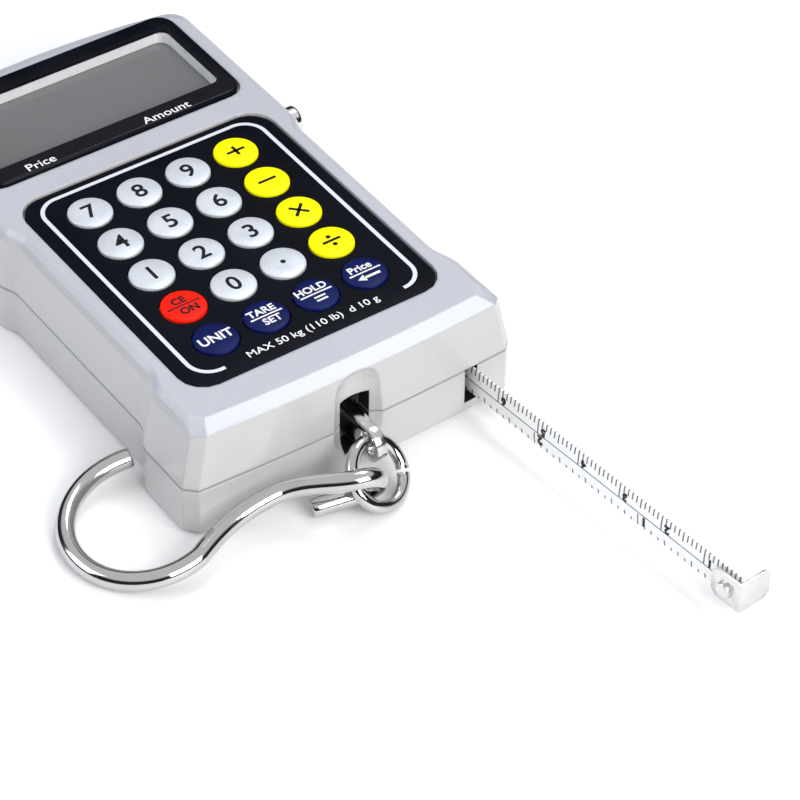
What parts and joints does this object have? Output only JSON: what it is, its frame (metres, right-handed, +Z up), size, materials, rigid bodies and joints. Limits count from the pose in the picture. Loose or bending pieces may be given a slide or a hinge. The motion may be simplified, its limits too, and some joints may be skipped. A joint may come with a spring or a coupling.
{
  "type": "hanging scale with tape measure",
  "caption": "Hand-held hanging scale with a display, a price keypad, a weighing hook on a link ring and a pull-out tape measure.",
  "frame": {"origin": "middle of the flat back, on the surface the case lies on", "axes": "+X to the right of the keypad, +Y from the hook end towards the display end, +Z up out of the keypad"},
  "size_m": [0.0886, 0.1897, 0.0224],
  "materials": {
    "shell": "silver lavender paint, satin",
    "window": "near black bezel, gloss",
    "lcd": "grey green glass",
    "panel": "near black, semi gloss",
    "silver_key": "silver, gloss",
    "yellow_key": "yellow, gloss",
    "red_key": "red, gloss",
    "navy_key": "navy, gloss",
    "mat": "grey silicone",
    "board": "green laminate",
    "black_plastic": "black, matte",
    "aluminium": "machined",
    "steel": "nickel plated",
    "polished": "polished plate",
    "tape": "white enamel",
    "battery": "printed jacket"
  },
  "bodies": {
    "case": {"top_shell": "shell", "back_shell": "shell", "display_window": "window", "lcd_module": "lcd", "keypad_panel": "panel", "keypad_mat": "mat", "main_board": "board", "buzzer": "black_plastic", "load_cell": "aluminium", "hanger_pin": "steel", "load_cell_screw_1": "steel", "load_cell_screw_2": "steel", "top_hanger_plate": "steel", "tape_spindle": "steel", "tape_spring": "steel", "spool_retainer": "steel", "lever_pin": "steel", "battery_1": "battery", "battery_2": "battery", "battery_bridge_contact": "steel", "battery_plus_contact": "steel", "battery_minus_contact": "steel", "case_screw_1": "steel", "case_screw_2": "steel", "case_screw_3": "steel", "case_screw_4": "steel"},
    "hanger_plate": {"hanger_plate": "steel"},
    "link_ring": {"link_ring": "steel"},
    "weighing_hook": {"weighing_hook": "steel"},
    "top_ring": {"top_ring": "steel"},
    "tape": {"tape_blade": "tape", "tape_end_hook": "steel", "tape_rivet": "steel"},
    "tape_reel": {"tape_spool": "black_plastic", "tape_coil": "tape"},
    "battery_door": {"battery_door": "shell"},
    "release_lever": {"tape_release_button": "polished", "brake_lever": "black_plastic"},
    "key_unit": {"key_unit": "navy_key"},
    "key_tare_set": {"key_tare_set": "navy_key"},
    "key_hold_equals": {"key_hold_equals": "navy_key"},
    "key_price_back": {"key_price_back": "navy_key"},
    "key_ce_on": {"key_ce_on": "red_key"},
    "key_0": {"key_0": "silver_key"},
    "key_point": {"key_point": "silver_key"},
    "key_divide": {"key_divide": "yellow_key"},
    "key_1": {"key_1": "silver_key"},
    "key_2": {"key_2": "silver_key"},
    "key_3": {"key_3": "silver_key"},
    "key_times": {"key_times": "yellow_key"},
    "key_4": {"key_4": "silver_key"},
    "key_5": {"key_5": "silver_key"},
    "key_6": {"key_6": "silver_key"},
    "key_minus": {"key_minus": "yellow_key"},
    "key_7": {"key_7": "silver_key"},
    "key_8": {"key_8": "silver_key"},
    "key_9": {"key_9": "silver_key"},
    "key_plus": {"key_plus": "yellow_key"}
  },
  "joints": [
    {"name": "hanger_plate_swing", "type": "hinge", "parent": "case", "child": "hanger_plate", "pos_m": [0, -0.0405, 0.0086], "axis": [1, 0, 0], "range_deg": [-14, 4]},
    {"name": "link_ring_swing", "type": "hinge", "parent": "hanger_plate", "child": "link_ring", "pos_m": [0.00016, -0.05763, 0.00925], "axis": [0.9012, -0.0195, -0.4329], "range_deg": [-40, 5]},
    {"name": "hook_swing", "type": "hinge", "parent": "link_ring", "child": "weighing_hook", "pos_m": [-0.00706, -0.06309, 0.00629], "axis": [-0.0867, 0.6357, 0.767], "range_deg": [0, 60]},
    {"name": "top_ring_swing", "type": "hinge", "parent": "case", "child": "top_ring", "pos_m": [0, 0.058, 0.00865], "axis": [1, 0, 0], "range_deg": [-50, 130]},
    {"name": "tape_reel_turn", "type": "hinge", "parent": "case", "child": "tape_reel", "pos_m": [0.0142, -0.041, 0.0029], "axis": [0, 0, 1], "range_deg": [-65, 384]},
    {"name": "tape_slide", "type": "slide", "parent": "case", "child": "tape", "axis": [0.0877, -0.9961, 0], "range_m": [-0.0585, 0.01]},
    {"name": "battery_door_slide", "type": "slide", "parent": "case", "child": "battery_door", "axis": [0, 1, 0], "range_m": [0, 0.0055]},
    {"name": "release_press", "type": "hinge", "parent": "case", "child": "release_lever", "pos_m": [0.0253, -0.0255, 0.011], "axis": [0, 0, 1], "range_deg": [0, 1.64], "stiffness_Nm_per_rad": 0.6},
    {"name": "key_unit_press", "type": "slide", "parent": "case", "child": "key_unit", "axis": [0, 0, -1], "range_m": [0, 0.0006], "stiffness_N_per_m": 800},
    {"name": "key_tare_set_press", "type": "slide", "parent": "case", "child": "key_tare_set", "axis": [0, 0, -1], "range_m": [0, 0.0006], "stiffness_N_per_m": 800},
    {"name": "key_hold_equals_press", "type": "slide", "parent": "case", "child": "key_hold_equals", "axis": [0, 0, -1], "range_m": [0, 0.0006], "stiffness_N_per_m": 800},
    {"name": "key_price_back_press", "type": "slide", "parent": "case", "child": "key_price_back", "axis": [0, 0, -1], "range_m": [0, 0.0006], "stiffness_N_per_m": 800},
    {"name": "key_ce_on_press", "type": "slide", "parent": "case", "child": "key_ce_on", "axis": [0, 0, -1], "range_m": [0, 0.0006], "stiffness_N_per_m": 800},
    {"name": "key_0_press", "type": "slide", "parent": "case", "child": "key_0", "axis": [0, 0, -1], "range_m": [0, 0.0006], "stiffness_N_per_m": 800},
    {"name": "key_point_press", "type": "slide", "parent": "case", "child": "key_point", "axis": [0, 0, -1], "range_m": [0, 0.0006], "stiffness_N_per_m": 800},
    {"name": "key_divide_press", "type": "slide", "parent": "case", "child": "key_divide", "axis": [0, 0, -1], "range_m": [0, 0.0006], "stiffness_N_per_m": 800},
    {"name": "key_1_press", "type": "slide", "parent": "case", "child": "key_1", "axis": [0, 0, -1], "range_m": [0, 0.0006], "stiffness_N_per_m": 800},
    {"name": "key_2_press", "type": "slide", "parent": "case", "child": "key_2", "axis": [0, 0, -1], "range_m": [0, 0.0006], "stiffness_N_per_m": 800},
    {"name": "key_3_press", "type": "slide", "parent": "case", "child": "key_3", "axis": [0, 0, -1], "range_m": [0, 0.0006], "stiffness_N_per_m": 800},
    {"name": "key_times_press", "type": "slide", "parent": "case", "child": "key_times", "axis": [0, 0, -1], "range_m": [0, 0.0006], "stiffness_N_per_m": 800},
    {"name": "key_4_press", "type": "slide", "parent": "case", "child": "key_4", "axis": [0, 0, -1], "range_m": [0, 0.0006], "stiffness_N_per_m": 800},
    {"name": "key_5_press", "type": "slide", "parent": "case", "child": "key_5", "axis": [0, 0, -1], "range_m": [0, 0.0006], "stiffness_N_per_m": 800},
    {"name": "key_6_press", "type": "slide", "parent": "case", "child": "key_6", "axis": [0, 0, -1], "range_m": [0, 0.0006], "stiffness_N_per_m": 800},
    {"name": "key_minus_press", "type": "slide", "parent": "case", "child": "key_minus", "axis": [0, 0, -1], "range_m": [0, 0.0006], "stiffness_N_per_m": 800},
    {"name": "key_7_press", "type": "slide", "parent": "case", "child": "key_7", "axis": [0, 0, -1], "range_m": [0, 0.0006], "stiffness_N_per_m": 800},
    {"name": "key_8_press", "type": "slide", "parent": "case", "child": "key_8", "axis": [0, 0, -1], "range_m": [0, 0.0006], "stiffness_N_per_m": 800},
    {"name": "key_9_press", "type": "slide", "parent": "case", "child": "key_9", "axis": [0, 0, -1], "range_m": [0, 0.0006], "stiffness_N_per_m": 800},
    {"name": "key_plus_press", "type": "slide", "parent": "case", "child": "key_plus", "axis": [0, 0, -1], "range_m": [0, 0.0006], "stiffness_N_per_m": 800}
  ],
  "couplings": [
    {"joint": "tape_slide", "follows": "tape_reel_turn", "m_per_rad": -0.0087}
  ]
}
